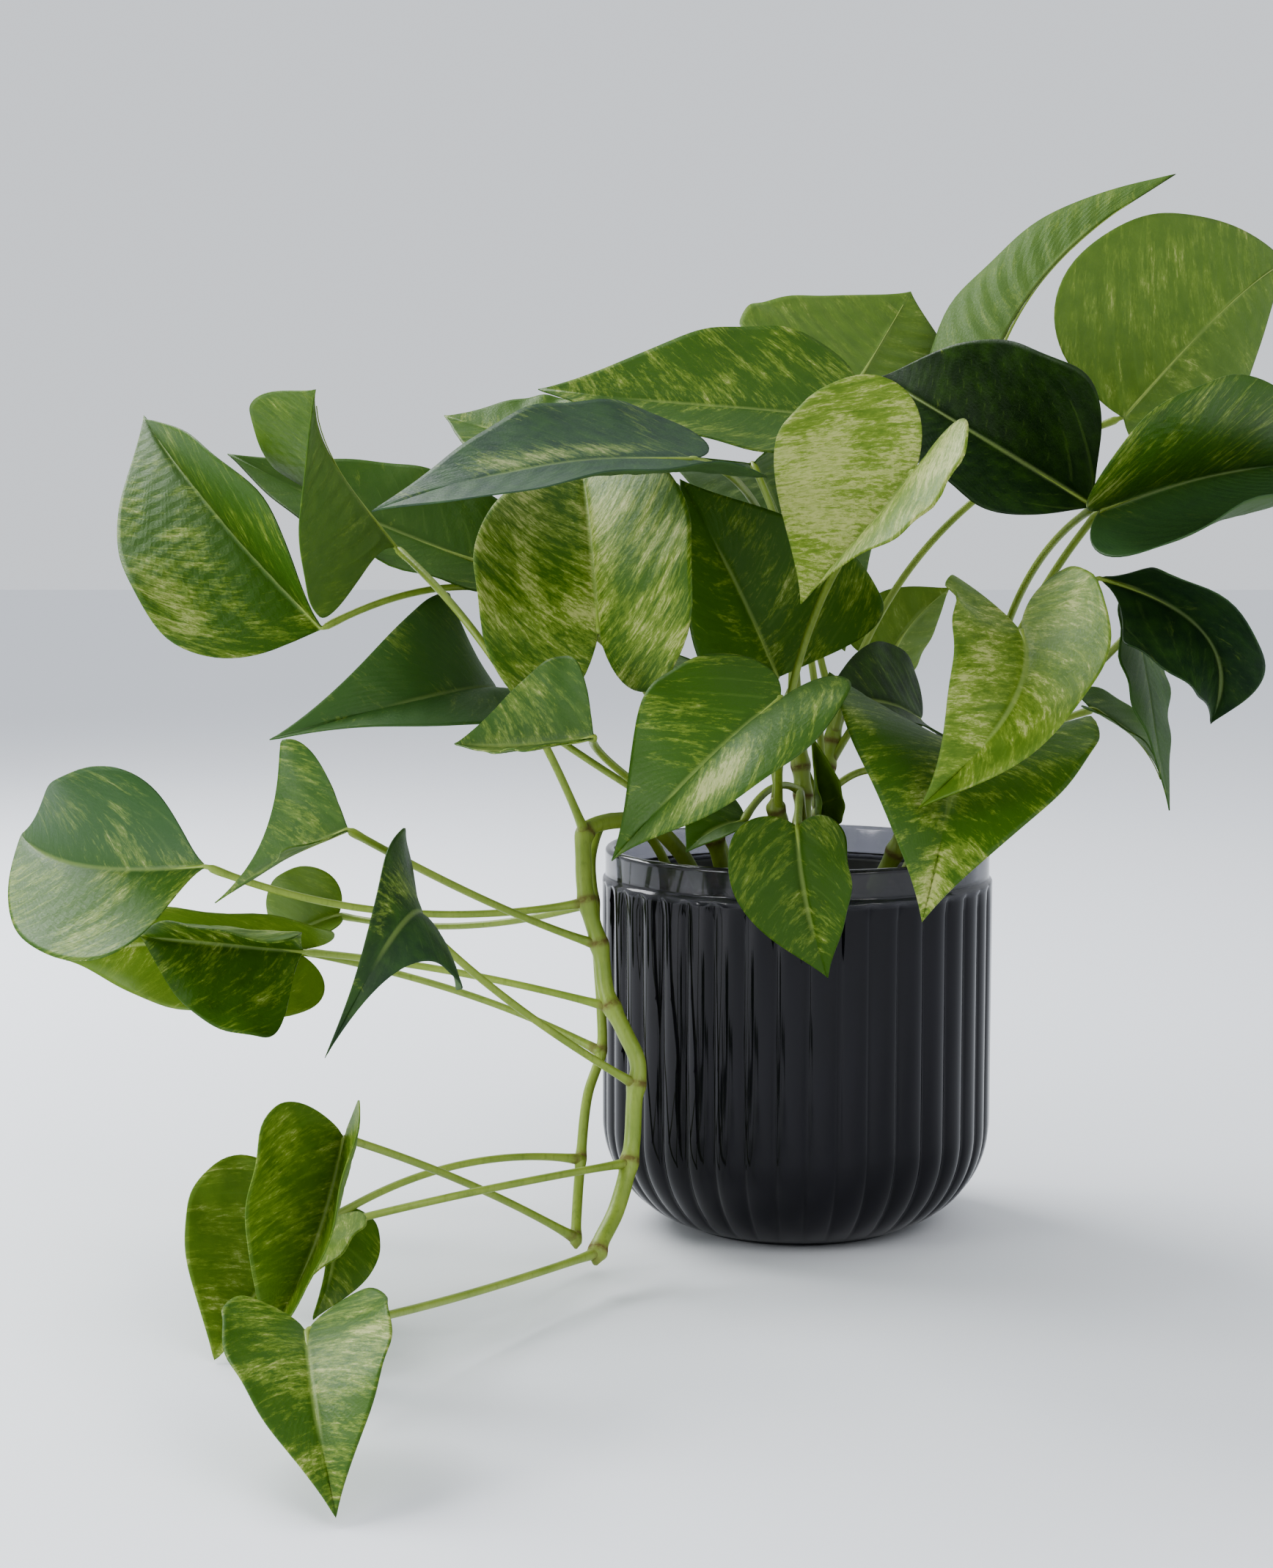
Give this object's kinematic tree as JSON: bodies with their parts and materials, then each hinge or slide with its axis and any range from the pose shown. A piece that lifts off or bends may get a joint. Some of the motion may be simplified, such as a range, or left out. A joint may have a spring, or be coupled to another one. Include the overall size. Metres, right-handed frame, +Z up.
{
  "type": "potted pothos plant",
  "caption": "Trailing pothos with heart-shaped variegated leaves on long petioles, rooted in soil in a plastic liner inside a ribbed smoke-glass pot.",
  "frame": {"origin": "centre of the pot's flat underside", "axes": "+Z up out of the pot, -Y the front that the trailing vine and most leaves face, +X to the right as seen from the front"},
  "size_m": [0.3974, 0.3683, 0.3261],
  "materials": {
    "smoke_glass": "glossy near-black smoke-grey pressed glass with vertical ribs and a plain rim band",
    "liner_plastic": "thin matte black nursery pot",
    "soil": "dark brown crumbly potting mix with bark and root bits",
    "stem": "satin yellow-green living stem with brown nodes",
    "leaf_variegated": "waxy mid-green leaf streaked and flecked with cream and yellow along its veins",
    "leaf_light": "waxy pale yellow-green young leaf, lightly marbled",
    "leaf_dark": "waxy deep green leaf with sparse cream flecks and a bluish sheen"
  },
  "bodies": {
    "root": {"glass_pot": "smoke_glass", "liner_pot": "liner_plastic", "soil": "soil", "main_vine": "stem", "second_vine": "stem", "left_stem": "stem", "front_stem": "stem", "right_stem": "stem", "far_right_stem": "stem", "back_stem": "stem", "middle_stem": "stem", "left_back_stem": "stem", "leaf_far_left": "leaf_variegated", "leaf_upright_left": "leaf_variegated", "leaf_behind_upright": "leaf_dark", "leaf_front_spear": "leaf_dark", "leaf_small_back_left": "leaf_variegated", "leaf_broad_top": "leaf_variegated", "leaf_pale_back": "leaf_light", "leaf_light_heart": "leaf_light", "leaf_dark_right": "leaf_dark", "leaf_upper_right": "leaf_light", "leaf_rising_right": "leaf_variegated", "leaf_right_side": "leaf_variegated", "leaf_dark_drooping": "leaf_dark", "leaf_narrow_hanging": "leaf_variegated", "leaf_thin_curved": "leaf_variegated", "leaf_front_right": "leaf_variegated", "leaf_front_right_low": "leaf_variegated", "leaf_front_left": "leaf_variegated", "leaf_over_rim": "leaf_variegated", "leaf_big_heart": "leaf_variegated", "leaf_middle": "leaf_variegated", "leaf_folded_left": "leaf_variegated", "leaf_long_left": "leaf_variegated", "leaf_dark_inner": "leaf_dark", "leaf_small_light": "leaf_light", "leaf_yellow_inner": "leaf_light", "leaf_low_front": "leaf_variegated", "leaf_rolled_young": "leaf_light", "vine_leaf_far_left": "leaf_variegated", "vine_leaf_winged": "leaf_variegated", "vine_leaf_yellow": "leaf_light", "vine_leaf_dark": "leaf_variegated", "vine_leaf_pale": "leaf_light", "vine_leaf_triangular": "leaf_dark", "vine_leaf_low_hanging": "leaf_variegated", "vine_leaf_low_back": "leaf_variegated", "vine_leaf_lowest": "leaf_variegated", "vine_leaf_low_narrow": "leaf_variegated", "back_leaf_high": "leaf_variegated", "back_leaf_middle": "leaf_variegated", "back_leaf_right": "leaf_variegated", "back_leaf_left": "leaf_variegated", "back_leaf_low": "leaf_variegated"}
  },
  "joints": []
}
